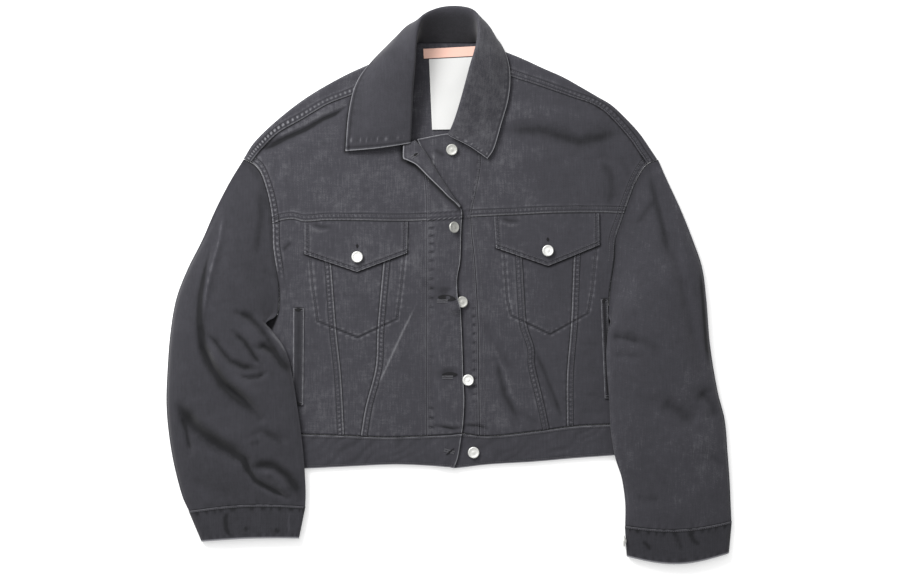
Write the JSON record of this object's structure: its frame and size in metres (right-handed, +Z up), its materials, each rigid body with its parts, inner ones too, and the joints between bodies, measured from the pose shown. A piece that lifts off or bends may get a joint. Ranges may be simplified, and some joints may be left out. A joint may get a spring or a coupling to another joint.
{
  "type": "denim jacket",
  "caption": "Cropped boxy denim jacket laid flat on its back, with a folded collar, buttoned front bands, chest flaps, hand pocket welts, waistband and cuffed sleeves.",
  "frame": {"origin": "centre of the laid-out jacket's outline, on the surface it lies on", "axes": "+Z up from the surface, +Y from the waistband to the collar, +X towards the wearer's left"},
  "size_m": [0.768, 0.7568, 0.0409],
  "materials": {
    "denim": "washed charcoal cotton twill, matt, paler at worn seams",
    "inner_cotton": "plain cotton pocketing, matt",
    "pink_tape": "pale pink woven tape, bare",
    "white_tape": "white printed tape, left bare",
    "button_metal": "pale silver, plain, softly polished"
  },
  "bodies": {
    "root": {"back_panel": "denim", "back_yoke": "denim", "front_yoke_right": "denim", "front_yoke_left": "denim", "front_side_right": "denim", "front_middle_right": "denim", "front_centre_right": "denim", "front_centre_left": "denim", "front_middle_left": "denim", "front_side_left": "denim", "placket_right": "denim", "placket_left": "denim", "waistband": "denim", "collar": "denim", "pocket_bag_right": "inner_cotton", "pocket_bag_left": "inner_cotton", "pocket_flap_right": "denim", "pocket_flap_left": "denim", "welt_right": "denim", "welt_left": "denim", "sleeve_top_right": "denim", "sleeve_top_left": "denim", "sleeve_under_right": "denim", "sleeve_under_left": "denim", "cuff_right": "denim", "cuff_left": "denim", "label_neck": "pink_tape", "label_care": "white_tape", "button_front_1": "button_metal", "button_front_2": "button_metal", "button_front_3": "button_metal", "button_front_4": "button_metal", "button_front_5": "button_metal", "button_flap_right": "button_metal", "button_flap_left": "button_metal", "button_cuff_right": "button_metal", "button_cuff_left": "button_metal"}
  },
  "joints": []
}
